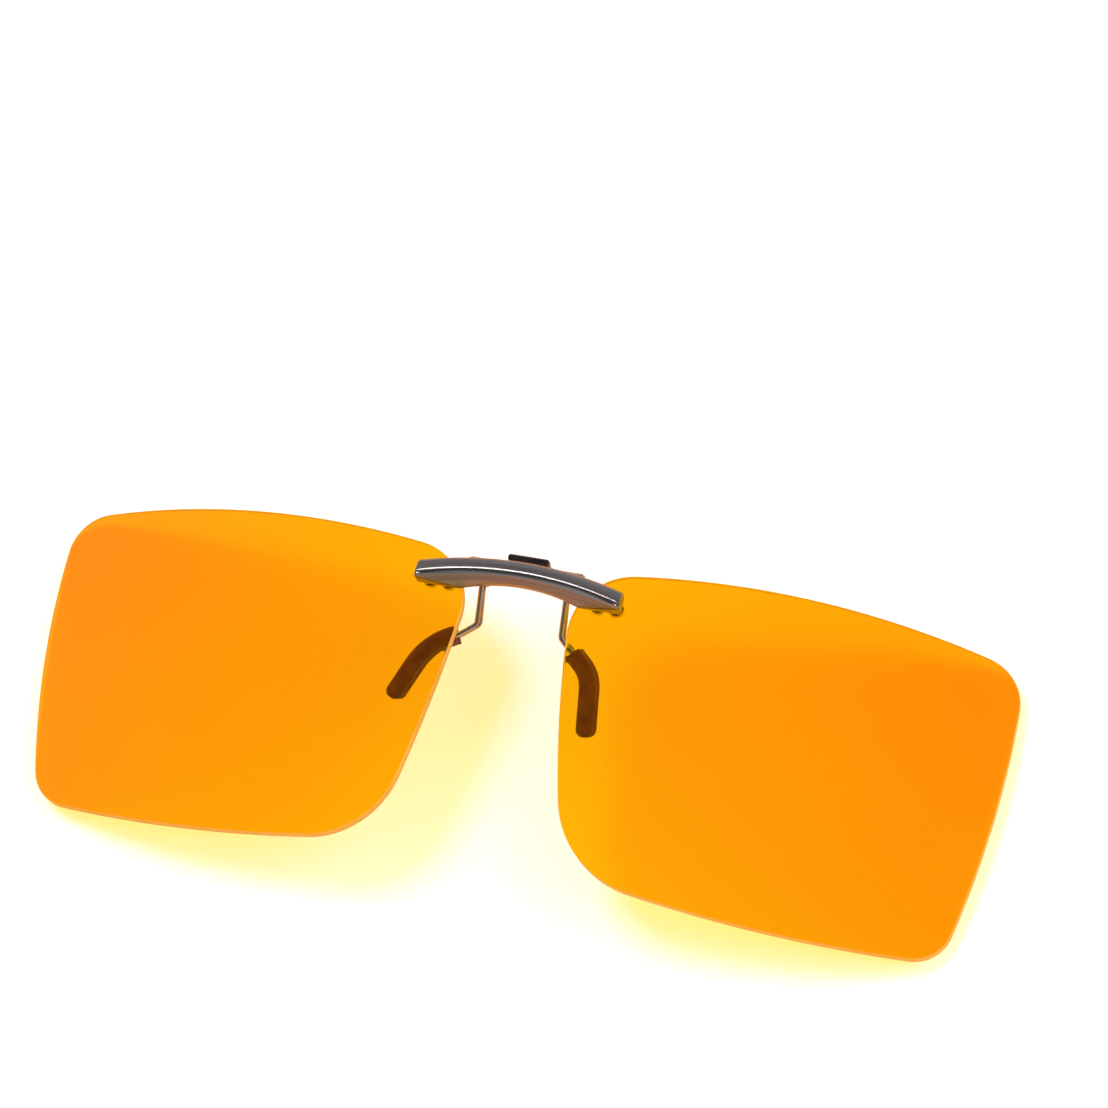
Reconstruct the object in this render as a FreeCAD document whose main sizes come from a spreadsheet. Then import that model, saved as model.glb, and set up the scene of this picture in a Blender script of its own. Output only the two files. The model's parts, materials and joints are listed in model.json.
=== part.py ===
"""Clip-on flip-up lenses: two tinted lenses on an arched bar, hinged to a sprung wire clip.

Working axes while the pieces are made: x to the right, y up the face towards the bar,
z out of the front. Every piece then takes one shared Placement, which lays the clip-on
front up on its four lens corners, with the origin under the middle of its box.
All lengths are in millimetres.
"""
import FreeCAD, Part
import math
import os
import Sketcher
from FreeCAD import Placement, Rotation, Vector

SIZES = [
    # lens pair, seen from the front
    ("overall_width", 140.0), ("lens_gap", 14.2), ("lens_height", 42.6),
    ("outer_corner_drop", 0.3), ("nasal_corner_rise", 1.5),
    ("nasal_slant", 6.6), ("temple_slant", 4.5),
    ("top_edge_radius", 154.0), ("temple_edge_radius", 140.0),
    ("bottom_edge_radius", 171.0), ("nasal_edge_radius", 192.0),
    ("nasal_top_corner", 9.2), ("temple_top_corner", 6.3),
    ("temple_bottom_corner", 6.0), ("nasal_bottom_corner", 13.5),
    ("lens_thickness", 2.0), ("lens_curve_radius", 168.0),
    ("curve_centre_x", 7.7), ("curve_centre_y", -19.0),
    # bridge bar
    ("bar_half_length", 14.7), ("bar_arch_radius", 54.0), ("bar_back", -0.35),
    ("bar_front", 2.95), ("bar_brow", 1.9), ("bar_ridge_drop", 2.2),
    ("bar_foot_drop", 4.25), ("bar_floor_drop", 4.75), ("arch_overreach", 1.2),
    ("bar_waist_height", 3.3), ("bar_waist_radius", 26.0), ("overshoot", 1.0),
    ("recess_half_width", 3.4), ("recess_depth", 1.35), ("recess_height", 1.9),
    # lens fixings
    ("post_inner_x", 10.8), ("post_spacing", 2.6), ("post_y", -3.45),
    ("post_radius", 0.5), ("post_engagement", 1.2), ("fixing_clearance", 0.04),
    ("washer_radius", 1.25), ("washer_thickness", 0.26), ("bush_wall", 0.22),
    ("cap_radius", 1.05), ("cap_thickness", 0.8), ("rear_seat_gap", 0.37),
    ("post_tail", 0.15), ("bush_gap", 0.02),
    # flip hinge
    ("flip_axis_y", -0.25), ("flip_axis_z", -1.4), ("knuckle_radius", 0.75),
    ("pin_radius", 0.4), ("running_clearance", 0.03), ("leaf_thickness", 0.6),
    ("leaf_inner_x", 3.9), ("leaf_outer_x", 8.0), ("leaf_top", -1.35),
    ("leaf_bottom", -3.0), ("knuckle_inner_x", 5.2), ("knuckle_length", 1.4),
    ("hinge_gap", 0.2), ("lug_length", 1.25), ("hinge_washer_thickness", 0.16),
    ("screw_radius", 0.3), ("screw_head_radius", 0.55), ("screw_head_height", 0.35),
    ("screw_engagement", 0.9), ("screw_y", -2.2), ("screw_inset", 0.75),
    ("slot_half_width", 0.07), ("slot_floor_share", 0.55), ("leaf_root", 0.3),
    ("weld_overlap", 0.01), ("pin_head_radius", 0.62), ("pin_head_length", 0.3),
    ("pin_tail", 0.1), ("hinge_washer_inset", 0.05),
    # clip body
    ("saddle_front", -2.35), ("saddle_thickness", 0.6), ("saddle_top", 0.5),
    ("saddle_bottom", -2.0), ("notch_half_width", 3.4), ("notch_floor", -0.9),
    ("socket_radius", 0.7), ("socket_top", -1.3), ("socket_bottom", -2.6),
    ("socket_roof", 0.2),
    # jaw lever
    ("jaw_axis_y", -0.7), ("jaw_axis_z", -4.3), ("barrel_radius", 0.8),
    ("barrel_inner_x", 1.7), ("barrel_outer_x", 7.05), ("ear_gap", 0.2),
    ("ear_thickness", 0.8), ("arm_width", 1.2), ("tongue_thickness", 0.5),
    ("tongue_front", -1.35), ("tongue_y", 1.25), ("upright_depth", 0.72),
    ("tongue_tail", 0.3), ("rivet_length", 0.35), ("collar_length", 0.3),
    ("tab_width", 6.0), ("tab_thickness", 1.0), ("tab_front", -1.0),
    ("tab_back", -2.8), ("tab_fit", 0.02), ("tab_corner", 0.45),
    # wire prongs and their sleeves
    ("wire_radius", 0.35), ("wire_x", 6.1), ("front_wire_z", -2.75),
    ("rear_wire_z", -4.35), ("wire_bend_radius", 0.9), ("wire_lead", 0.7),
    ("knee_y", -8.2), ("knee_z", -5.0), ("sleeve_start_x", 8.3),
    ("sleeve_start_y", -10.3), ("right_elbow_x", 11.35), ("right_elbow_y", -13.1),
    ("right_elbow_radius", 5.5), ("right_tip_x", 12.5), ("right_tip_y", -21.9),
    ("left_elbow_x", 12.2), ("left_elbow_y", -12.2), ("left_elbow_radius", 9.5),
    ("left_tip_x", 15.6), ("left_tip_y", -20.95), ("front_pad_z", -4.5),
    ("sleeve_width", 2.5), ("sleeve_depth", 1.8), ("pad_gap", 0.3),
    ("rear_pad_rise", 0.6), ("sleeve_fit", 0.02), ("tip_cover", 1.3),
    ("tip_round", 0.5),
    # torsion spring
    ("spring_wire_radius", 0.2), ("spring_inner_clearance", 0.25),
    ("spring_half_length", 1.4), ("spring_turns", 5.0), ("leg_gap", 0.06),
    ("rest_leg_inset", 0.3), ("moving_leg_reach", 0.1),
]

doc = FreeCAD.newDocument("clip_on_flip_lenses")
sheet = doc.addObject("Spreadsheet::Sheet", "sizes")
for row, (alias, value) in enumerate(SIZES, start=1):
    sheet.set(f"A{row}", alias)
    sheet.set(f"B{row}", str(value))
    sheet.setAlias(f"B{row}", alias)
doc.recompute()

PARTS = {}


def size(alias):
    """The value of one named cell."""
    return float(sheet.get(alias))


def bound(text):
    """An expression in which each word that is a cell's alias points at the sheet."""
    names = {alias for alias, _ in SIZES}
    words, word = [], ""
    for letter in str(text) + " ":
        if letter.isalnum() or letter in "_.":
            word += letter
            continue
        words.append("sizes." + word if word in names else word)
        words.append(letter)
        word = ""
    return "".join(words).strip()


def bind(item, **expressions):
    """Ties properties to the sheet; a double underscore in a name stands for a dot."""
    for name, text in expressions.items():
        item.setExpression(name.replace("__", "."), bound(text))


def put(item, x, y, z):
    """Ties the item's position to the sheet."""
    bind(item, Placement__Base__x=x, Placement__Base__y=y, Placement__Base__z=z)
    return item


def block(x_low, x_high, y_low, y_high, z_low, z_high):
    """A box between six planes, each given as an expression."""
    item = doc.addObject("Part::Box", "block")
    bind(item, Length=f"({x_high})-({x_low})", Width=f"({y_high})-({y_low})",
         Height=f"({z_high})-({z_low})")
    return put(item, x_low, y_low, z_low)


def rod(radius, start, end, centre, axis):
    """A cylinder along axis, from start to end, whose other two coordinates are centre."""
    item = doc.addObject("Part::Cylinder", "rod")
    bind(item, Radius=radius, Height=f"({end})-({start})")
    turns = {"x": Rotation(Vector(0, 1, 0), 90), "y": Rotation(Vector(1, 0, 0), -90),
             "z": Rotation()}
    item.Placement = Placement(Vector(), turns[axis])
    places = {"x": (start, *centre), "y": (centre[0], start, centre[1]),
              "z": (*centre, start)}
    return put(item, *places[axis])


def fuse(*items):
    joined = doc.addObject("Part::MultiFuse", "joined")
    joined.Shapes = list(items)
    joined.Refine = True
    return joined


def cut(base, *tools):
    """Base less each tool in turn."""
    for tool in tools:
        less = doc.addObject("Part::Cut", "less")
        less.Base = base
        less.Tool = tool
        less.Refine = True
        base = less
    return base


def common(first, second):
    both = doc.addObject("Part::Common", "both")
    both.Base = first
    both.Tool = second
    return both


def mirrored(item):
    """The same piece on the other side of the middle plane."""
    twin = doc.addObject("Part::Mirroring", "twin")
    twin.Source = item
    twin.Base = Vector(0, 0, 0)
    twin.Normal = Vector(1, 0, 0)
    return twin


def group(*items):
    """Several separate solids that make one node."""
    together = doc.addObject("Part::Compound", "group")
    together.Links = list(items)
    return together


def shaped(shape):
    """A piece whose shape is worked out below from the sheet's values."""
    item = doc.addObject("Part::Feature", "formed")
    item.Shape = shape
    return item


def tight_box(shape):
    """Closest box round a shape, read from a fine mesh of it."""
    return shape.optimalBoundingBox(True, False)


def sub_part(label, item):
    item.Label = label
    PARTS[label] = item
    return item


def sub_part_pair(name, item):
    """A right-hand piece and its mirror image, as two separate sub-parts."""
    sub_part(f"{name}_right", group(item))
    sub_part(f"{name}_left", mirrored(item))


# ---------------------------------------------------------------- lenses

def lens_corners():
    """The four corners of the right lens before rounding, clockwise from the nose."""
    half = size("overall_width") / 2
    nose = size("lens_gap") / 2
    return [
        Vector(nose, 0, 0),
        Vector(half, -size("outer_corner_drop"), 0),
        Vector(half - size("temple_slant"), -size("lens_height"), 0),
        Vector(nose + size("nasal_slant"),
               size("nasal_corner_rise") - size("lens_height"), 0),
    ]


def corner_expressions():
    """The same four corners as expressions, to tie the sketch to the sheet."""
    return [
        ("lens_gap/2", "0"),
        ("overall_width/2", "0-outer_corner_drop"),
        ("overall_width/2-temple_slant", "0-lens_height"),
        ("lens_gap/2+nasal_slant", "nasal_corner_rise-lens_height"),
    ]


EDGE_RADII = ["top_edge_radius", "temple_edge_radius", "bottom_edge_radius",
              "nasal_edge_radius"]
CORNER_RADII = ["nasal_top_corner", "temple_top_corner", "temple_bottom_corner",
                "nasal_bottom_corner"]


def bowed_centre(start, end, radius):
    """Centre of the arc from start to end that bows outwards on a clockwise outline."""
    middle = (start + end) * 0.5
    chord = end - start
    inward = Vector(chord.y, -chord.x, 0).normalize()
    return middle + inward * math.sqrt(radius ** 2 - (chord.Length / 2) ** 2)


def corner_centre(first, first_radius, second, second_radius, corner, radius):
    """Centre of the small arc inside both edge circles, nearest the corner."""
    one = first_radius - radius
    two = second_radius - radius
    apart = second - first
    along = (apart.Length ** 2 + one ** 2 - two ** 2) / (2 * apart.Length)
    aside = math.sqrt(one ** 2 - along ** 2)
    unit = Vector(apart).normalize()
    normal = Vector(-unit.y, unit.x, 0)
    choices = [first + unit * along + normal * aside * side for side in (1, -1)]
    return min(choices, key=lambda point: (point - corner).Length)


def arc_between(centre, radius, start, end):
    """Part.ArcOfCircle going anticlockwise from start to end."""
    low = math.atan2(start.y - centre.y, start.x - centre.x)
    high = math.atan2(end.y - centre.y, end.x - centre.x)
    if high < low:
        high += 2 * math.pi
    return Part.ArcOfCircle(Part.Circle(centre, Vector(0, 0, 1), radius), low, high)


def outline_arcs():
    """Edge arcs and corner arcs of the right lens, in the order of the corners."""
    corners = lens_corners()
    radii = [size(name) for name in EDGE_RADII]
    rounds = [size(name) for name in CORNER_RADII]
    centres = [bowed_centre(corners[i], corners[(i + 1) % 4], radii[i]) for i in range(4)]
    round_centres = [
        corner_centre(centres[i - 1], radii[i - 1], centres[i], radii[i],
                      corners[i], rounds[i]) for i in range(4)]

    def meeting(edge, corner):
        away = Vector(round_centres[corner] - centres[edge]).normalize()
        return centres[edge] + away * radii[edge]

    edges = [arc_between(centres[i], radii[i], meeting(i, (i + 1) % 4), meeting(i, i))
             for i in range(4)]
    corner_arcs = [arc_between(round_centres[i], rounds[i], meeting(i, i),
                               meeting(i - 1, i)) for i in range(4)]
    return edges, corner_arcs


def lens_sketch(body):
    """The lens outline, every arc tangent to the next, tied to the sheet."""
    sketch = body.newObject("Sketcher::SketchObject", "lens_outline")
    plane = [f for f in body.Origin.OriginFeatures if f.Role == "XY_Plane"][0]
    sketch.AttachmentSupport = [(plane, "")]
    sketch.MapMode = "FlatFace"
    sketch.AttachmentOffset = Placement(Vector(0, 0, -size("lens_height")), Rotation())
    edges, corner_arcs = outline_arcs()
    for arc in edges + corner_arcs:
        sketch.addGeometry(arc, False)
    first_point = len(edges) + len(corner_arcs)
    for corner in lens_corners():
        sketch.addGeometry(Part.Point(corner), True)
    for i in range(4):
        before = (i - 1) % 4
        sketch.addConstraint(Sketcher.Constraint("Tangent", i, 2, 4 + i, 1))
        sketch.addConstraint(Sketcher.Constraint("Tangent", 4 + i, 2, before, 1))
    for i, (x_text, y_text) in enumerate(corner_expressions()):
        corner = lens_corners()[i]
        point = first_point + i
        for kind, value, text in (("DistanceX", corner.x, x_text),
                                  ("DistanceY", corner.y, y_text)):
            number = sketch.addConstraint(
                Sketcher.Constraint(kind, -1, 1, point, 1, value))
            sketch.setExpression(f"Constraints[{number}]", bound(text))
        sketch.addConstraint(Sketcher.Constraint("PointOnObject", point, 1, i))
        sketch.addConstraint(Sketcher.Constraint("PointOnObject", point, 1, (i - 1) % 4))
    for i, name in enumerate(EDGE_RADII + CORNER_RADII):
        number = sketch.addConstraint(Sketcher.Constraint("Radius", i, size(name)))
        sketch.setExpression(f"Constraints[{number}]", bound(name))
    return sketch


def lens_plate():
    """A straight-sided block of the lens outline, deep enough for the curved sheet."""
    body = doc.addObject("PartDesign::Body", "lens_plate")
    sketch = lens_sketch(body)
    pad = body.newObject("PartDesign::Pad", "lens_block")
    pad.Profile = sketch
    bind(pad, Length="lens_height*2")
    return body


def ball(radius):
    item = doc.addObject("Part::Sphere", "ball")
    bind(item, Radius=radius)
    return put(item, "curve_centre_x", "curve_centre_y", "0-lens_curve_radius")


def post_places():
    """The two fixing posts of the right lens, as expressions for x."""
    return ["post_inner_x", "post_inner_x+post_spacing"]


def hole(x, radius):
    return rod(radius, "bar_back-lens_thickness*3", "bar_front", (x, "post_y"), "z")


def make_lenses():
    """The right lens is a spherical sheet cut to the outline, and the left mirrors it."""
    sheet_shell = cut(ball("lens_curve_radius"), ball("lens_curve_radius-lens_thickness"))
    blank = common(lens_plate(), sheet_shell)
    drill = "post_radius+bush_wall+2*fixing_clearance"
    lens = cut(blank, *[hole(x, drill) for x in post_places()])
    sub_part_pair("lens", lens)


# ---------------------------------------------------------------- bridge bar

def bar_sketch(body):
    """Half section of the bar: flat back, sloping brow, ridge and sloping under-face."""
    sketch = body.newObject("Sketcher::SketchObject", "bar_section")
    plane = [f for f in body.Origin.OriginFeatures if f.Role == "YZ_Plane"][0]
    sketch.AttachmentSupport = [(plane, "")]
    sketch.MapMode = "FlatFace"
    radius = size("bar_arch_radius")
    ridge = radius - size("bar_ridge_drop")
    foot = radius - size("bar_foot_drop")
    points = [
        (radius, size("bar_back"), "bar_arch_radius", "bar_back"),
        (radius, size("bar_brow"), "bar_arch_radius", "bar_brow"),
        (ridge, size("bar_front"), "bar_arch_radius-bar_ridge_drop", "bar_front"),
        (foot, size("bar_back"), "bar_arch_radius-bar_foot_drop", "bar_back"),
    ]
    count = len(points)
    for i, (out, up, _, _) in enumerate(points):
        after = points[(i + 1) % count]
        sketch.addGeometry(Part.LineSegment(Vector(out, up, 0),
                                            Vector(after[0], after[1], 0)), False)
    for i, (out, up, out_text, up_text) in enumerate(points):
        sketch.addConstraint(
            Sketcher.Constraint("Coincident", i, 2, (i + 1) % count, 1))
        for kind, value, text in (("DistanceX", out, out_text), ("DistanceY", up, up_text)):
            number = sketch.addConstraint(
                Sketcher.Constraint(kind, -1, 1, i, 1, value))
            sketch.setExpression(f"Constraints[{number}]", bound(text))
    return sketch


def arched_bar():
    """The bar's section swept round the centre of its arch, a little past each end."""
    body = doc.addObject("PartDesign::Body", "arched_bar")
    sketch = bar_sketch(body)
    turn = body.newObject("PartDesign::Revolution", "arch")
    turn.Profile = sketch
    turn.ReferenceAxis = (sketch, ["V_Axis"])
    bind(turn, Angle="2*asin(bar_half_length*arch_overreach/bar_arch_radius)")
    turn.Midplane = True
    bind(body, Placement__Base__y="0-bar_arch_radius")
    return body


def bar_front_view():
    """What the bar covers from the front: upright ends and a waisted lower edge."""
    half = "bar_half_length"
    slab = block(f"0-{half}", half, "0-bar_floor_drop", "bar_floor_drop",
                 "bar_back", "bar_front")
    waist = rod("bar_waist_radius", "bar_back-overshoot", "bar_front+overshoot",
                ("0", "0-bar_waist_height-bar_waist_radius"), "z")
    return cut(slab, waist)


def make_bar():
    recess = block("0-recess_half_width", "recess_half_width", "0-recess_height",
                   "recess_height", "bar_back-overshoot", "bar_back+recess_depth")
    bar = cut(common(arched_bar(), bar_front_view()), recess)
    sockets = []
    for x in post_places():
        sockets.append(rod("post_radius", "bar_back-overshoot", "bar_back+post_engagement",
                           (x, "post_y"), "z"))
    for x in screw_places():
        sockets.append(rod("screw_radius", "bar_back-overshoot", "bar_back+screw_engagement",
                           (x, "screw_y"), "z"))
    for socket in list(sockets):
        sockets.append(mirrored(socket))
    sub_part("bridge_bar", cut(bar, *sockets))


# ---------------------------------------------------------------- lens fixings

REAR_SEAT = "(bar_back-washer_thickness-lens_thickness-rear_seat_gap)"


def make_fixings():
    """Posts, clear washers and push-on caps that hold each lens to the bar's back."""
    posts, front_washers, rear_bushes, caps = [], [], [], []
    for x in post_places():
        spot = (x, "post_y")
        tail = f"{REAR_SEAT}-washer_thickness-cap_thickness-post_tail"
        shank = rod("post_radius", tail, "bar_back+post_engagement", spot, "z")
        posts.append(shank)
        bore = "post_radius+fixing_clearance"
        ring = rod("washer_radius", "bar_back-washer_thickness", "bar_back", spot, "z")
        front_washers.append(cut(ring, hole(x, bore)))
        flange = rod("washer_radius", f"{REAR_SEAT}-washer_thickness", REAR_SEAT, spot, "z")
        tube = rod("post_radius+bush_wall+fixing_clearance", REAR_SEAT,
                   "bar_back-washer_thickness-bush_gap", spot, "z")
        rear_bushes.append(cut(fuse(flange, tube), hole(x, bore)))
        cap = rod("cap_radius", f"{REAR_SEAT}-washer_thickness-cap_thickness",
                  f"{REAR_SEAT}-washer_thickness", spot, "z")
        caps.append(cut(cap, hole(x, "post_radius")))
    for label, pieces in (("lens_posts", posts), ("front_washers", front_washers),
                          ("rear_bushes", rear_bushes), ("post_caps", caps)):
        sub_part(label, group(*pieces, *[mirrored(piece) for piece in pieces]))


# ---------------------------------------------------------------- flip hinge

KNUCKLE_END = "(knuckle_inner_x+knuckle_length)"
FLIP_AXIS = ("flip_axis_y", "flip_axis_z")
JAW_AXIS = ("jaw_axis_y", "jaw_axis_z")


def screw_places():
    """The two leaf screws of the right side, as expressions for x."""
    return ["leaf_inner_x+screw_inset", "leaf_outer_x-screw_inset"]


def make_leaves():
    """A small plate screwed to the bar's back, with the moving knuckle of the hinge."""
    back = "bar_back-leaf_thickness"
    plate = block("leaf_inner_x", "leaf_outer_x", "leaf_bottom", "leaf_top",
                  back, "bar_back")
    arm = block("knuckle_inner_x", KNUCKLE_END, "leaf_top", "flip_axis_y",
                "flip_axis_z", "bar_back")
    root = block("knuckle_inner_x", KNUCKLE_END, "leaf_top-leaf_root", "leaf_top+weld_overlap",
                 "flip_axis_z", "bar_back")
    knuckle = rod("knuckle_radius", "knuckle_inner_x", KNUCKLE_END, FLIP_AXIS, "x")
    pin_hole = rod("pin_radius+running_clearance", "knuckle_inner_x-overshoot",
                   f"{KNUCKLE_END}+overshoot", FLIP_AXIS, "x")
    holes = [rod("screw_radius+fixing_clearance", f"{back}-overshoot", "bar_back+overshoot",
                 (x, "screw_y"), "z") for x in screw_places()]
    leaf = cut(fuse(plate, arm, root, knuckle), pin_hole, *holes)
    sub_part_pair("hinge_leaf", leaf)
    screws = []
    for x in screw_places():
        spot = (x, "screw_y")
        shank = rod("screw_radius", back, "bar_back+screw_engagement", spot, "z")
        head = rod("screw_head_radius", f"{back}-screw_head_height", back, spot, "z")
        slot = block(f"{x}-overshoot", f"{x}+overshoot", "screw_y-slot_half_width",
                     "screw_y+slot_half_width", f"{back}-screw_head_height-overshoot",
                     f"{back}-screw_head_height*slot_floor_share")
        screws.append(cut(fuse(shank, head), slot))
    sub_part("leaf_screws", group(*screws, *[mirrored(screw) for screw in screws]))


def make_flip_pins():
    """One headed pin on each side, through the body's two lugs and the leaf's knuckle."""
    inner = "knuckle_inner_x-hinge_gap-lug_length"
    outer = f"{KNUCKLE_END}+hinge_gap+lug_length"
    shank = rod("pin_radius", f"{inner}-pin_tail", outer, FLIP_AXIS, "x")
    head = rod("pin_head_radius", outer, f"{outer}+pin_head_length", FLIP_AXIS, "x")
    sub_part_pair("flip_pin", fuse(shank, head))
    slack = "(hinge_gap-hinge_washer_thickness)/2"
    washers = []
    for start in (f"knuckle_inner_x-hinge_gap+{slack}", f"{KNUCKLE_END}+{slack}"):
        ring = rod("knuckle_radius-hinge_washer_inset", start, f"{start}+hinge_washer_thickness",
                   FLIP_AXIS, "x")
        bore = rod("pin_radius+running_clearance", f"{start}-overshoot", f"{start}+overshoot",
                   FLIP_AXIS, "x")
        washers.append(cut(ring, bore))
    sub_part("friction_washers", group(*washers, *[mirrored(ring) for ring in washers]))


# ---------------------------------------------------------------- clip body

SADDLE_BACK = "(saddle_front-saddle_thickness)"
BODY_END = f"({KNUCKLE_END}+hinge_gap+lug_length)"


def make_clip_body():
    """Saddle plate with hinge lugs in front, pin ears behind and two wire sockets."""
    plate = block("0", BODY_END, "saddle_bottom", "saddle_top", SADDLE_BACK, "saddle_front")
    notch = block("0-overshoot", "notch_half_width", "notch_floor",
                  "saddle_top+overshoot", f"{SADDLE_BACK}-overshoot",
                  "saddle_front+overshoot")
    solids = [cut(plate, notch)]
    inner = "knuckle_inner_x-hinge_gap-lug_length"
    for start in (inner, f"{KNUCKLE_END}+hinge_gap"):
        end = f"{start}+lug_length"
        solids.append(block(start, end, "flip_axis_y-knuckle_radius",
                            "flip_axis_y+knuckle_radius", "saddle_front", "flip_axis_z"))
        solids.append(rod("knuckle_radius", start, end, FLIP_AXIS, "x"))
    ear = f"{BODY_END}-ear_thickness"
    solids.append(block(ear, BODY_END, "jaw_axis_y-barrel_radius",
                        "jaw_axis_y+barrel_radius", "jaw_axis_z", SADDLE_BACK))
    solids.append(rod("barrel_radius", ear, BODY_END, JAW_AXIS, "x"))
    solids.append(rod("socket_radius", "socket_bottom", "socket_top",
                      ("wire_x", "front_wire_z"), "y"))
    half = fuse(*solids)
    tools = [
        rod("pin_radius", f"{inner}-overshoot", f"{BODY_END}+overshoot", FLIP_AXIS, "x"),
        rod("pin_radius", f"{ear}-overshoot", f"{BODY_END}+overshoot", JAW_AXIS, "x"),
        rod("wire_radius", "socket_bottom-overshoot", "socket_top-socket_roof",
            ("wire_x", "front_wire_z"), "y"),
    ]
    right = cut(half, *tools)
    sub_part("clip_body", fuse(right, mirrored(right)))


# ---------------------------------------------------------------- jaw lever

def make_lever():
    """Rear jaw: two barrels on the lever pin, wire sockets below, a tongue above."""
    barrel = rod("barrel_radius", "barrel_inner_x", "barrel_outer_x", JAW_AXIS, "x")
    socket = rod("socket_radius", "socket_bottom", "jaw_axis_y",
                 ("wire_x", "rear_wire_z"), "y")
    arm_end = "barrel_inner_x+arm_width"
    low = "tongue_y-tongue_thickness/2"
    high = "tongue_y+tongue_thickness/2"
    upright = block("barrel_inner_x", arm_end, "jaw_axis_y", high,
                    "jaw_axis_z", "jaw_axis_z+upright_depth")
    tongue_arm = block("barrel_inner_x", arm_end, low, high, "jaw_axis_z", "tongue_front")
    tongue = block("0", arm_end, low, high, "tab_back-tongue_tail", "tongue_front")
    half = fuse(barrel, socket, upright, tongue_arm, tongue)
    bore = rod("pin_radius+running_clearance", "barrel_inner_x-overshoot",
               "barrel_outer_x+overshoot",
               JAW_AXIS, "x")
    wire_hole = rod("wire_radius", "socket_bottom-overshoot", "jaw_axis_y-barrel_radius",
                    ("wire_x", "rear_wire_z"), "y")
    right = cut(half, bore, wire_hole)
    sub_part("jaw_lever", fuse(right, mirrored(right)))


def make_squeeze_tab():
    """Soft black cap pushed over the lever's tongue, rounded at its corners."""
    half = "tab_width/2"
    low = "tongue_y-tab_thickness/2"
    high = "tongue_y+tab_thickness/2"
    outer = block(f"0-{half}", half, low, high, "tab_back", "tab_front")
    soft = doc.addObject("Part::Fillet", "soft_edges")
    soft.Base = outer
    doc.recompute()
    upright = [number for number, edge in enumerate(outer.Shape.Edges, start=1)
               if abs(edge.tangentAt(edge.FirstParameter).y) > 0.9]
    corner = size("tab_corner")
    soft.Edges = [(number, corner, corner) for number in upright]
    gap = "tongue_thickness/2+tab_fit"
    reach = "barrel_inner_x+arm_width+tab_fit"
    pocket = block(f"0-({reach})", reach, f"tongue_y-({gap})", f"tongue_y+{gap}",
                   "tab_back-overshoot", "tongue_front+tab_fit")
    sub_part("squeeze_tab", cut(soft, pocket))


def make_lever_pin():
    """Long pin through the ears and the lever, riveted over a collar at one end."""
    shank = rod("pin_radius", f"0-{BODY_END}-rivet_length", BODY_END, JAW_AXIS, "x")
    head = rod("pin_head_radius", BODY_END, f"{BODY_END}+pin_head_length", JAW_AXIS, "x")
    sub_part("lever_pin", fuse(shank, head))
    collar = rod("pin_head_radius", f"0-{BODY_END}-collar_length", f"0-{BODY_END}", JAW_AXIS, "x")
    bore = rod("pin_radius", f"0-{BODY_END}-overshoot", f"0-{BODY_END}+overshoot",
               JAW_AXIS, "x")
    sub_part("pin_collar", cut(collar, bore))


# ---------------------------------------------------------------- wires and sleeves

SAME_PLACE = 0.01


def bent_path(points, radii):
    """Straight runs joined by tangent arcs, one radius for each inner point."""
    edges = []
    start = points[0]
    for before, corner, after, radius in zip(points, points[1:], points[2:], radii):
        back = Vector(before - corner).normalize()
        onward = Vector(after - corner).normalize()
        half_turn = math.acos(max(-1.0, min(1.0, -back.dot(onward)))) / 2
        setback = radius * math.tan(half_turn)
        begin = corner + back * setback
        finish = corner + onward * setback
        inward = Vector(back + onward).normalize()
        middle = corner + inward * (radius / math.cos(half_turn) - radius)
        edges.append(Part.LineSegment(start, begin).toShape())
        edges.append(Part.Arc(begin, middle, finish).toShape())
        start = finish
    edges.append(Part.LineSegment(start, points[-1]).toShape())
    return Part.Wire(edges)


def round_tube(path, radius):
    """A solid of round section along a path."""
    start = path.Edges[0]
    circle = Part.Circle(start.valueAt(start.FirstParameter),
                         start.tangentAt(start.FirstParameter), radius)
    return path.makePipeShell([Part.Wire(circle.toShape())], True, True)


def oval_tube(path, across, deep):
    """A solid of oval section along a path that lies in a plane facing z."""
    start = path.Edges[0]
    along = start.tangentAt(start.FirstParameter)
    centre = start.valueAt(start.FirstParameter)
    side = along.cross(Vector(0, 0, 1)).normalize()
    oval = Part.Ellipse(centre + side * across / 2, centre + Vector(0, 0, deep / 2), centre)
    maker = Part.BRepOffsetAPI.MakePipeShell(path)
    maker.setBiNormalMode(Vector(0, 0, 1))
    maker.add(Part.Wire(oval.toShape()), False, False)
    maker.build()
    maker.makeSolid()
    return maker.shape()


def prong_points(hand, rear):
    """Route of one wire: out of its socket, back to the knee, then down inside the sleeve."""
    side = 1 if hand == "right" else -1
    pads_apart = size("sleeve_depth") + size("pad_gap")
    socket_z = size("rear_wire_z") if rear else size("front_wire_z")
    pad_z = size("front_pad_z") - (pads_apart if rear else 0)
    rise = size("rear_pad_rise") if rear else 0
    knee_z = size("knee_z") - (pads_apart if rear else 0)
    top = size("socket_top") - size("socket_roof")
    if rear:
        top = size("jaw_axis_y") - size("barrel_radius")
    across = side * size("wire_x")
    return [
        Vector(across, top, socket_z),
        Vector(across, size("socket_bottom") - size("wire_lead"), socket_z),
        Vector(across, size("knee_y") + rise, knee_z),
        Vector(side * size("sleeve_start_x"), size("sleeve_start_y") + rise, pad_z),
        Vector(side * size(f"{hand}_elbow_x"), size(f"{hand}_elbow_y") + rise, pad_z),
        Vector(side * size(f"{hand}_tip_x"), size(f"{hand}_tip_y") + rise, pad_z),
    ]


def shortened(points, amount):
    """The same route, stopping short of its last point."""
    last = points[-1] - points[-2]
    return points[:-1] + [points[-2] + last * (1 - amount / last.Length)]


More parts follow.
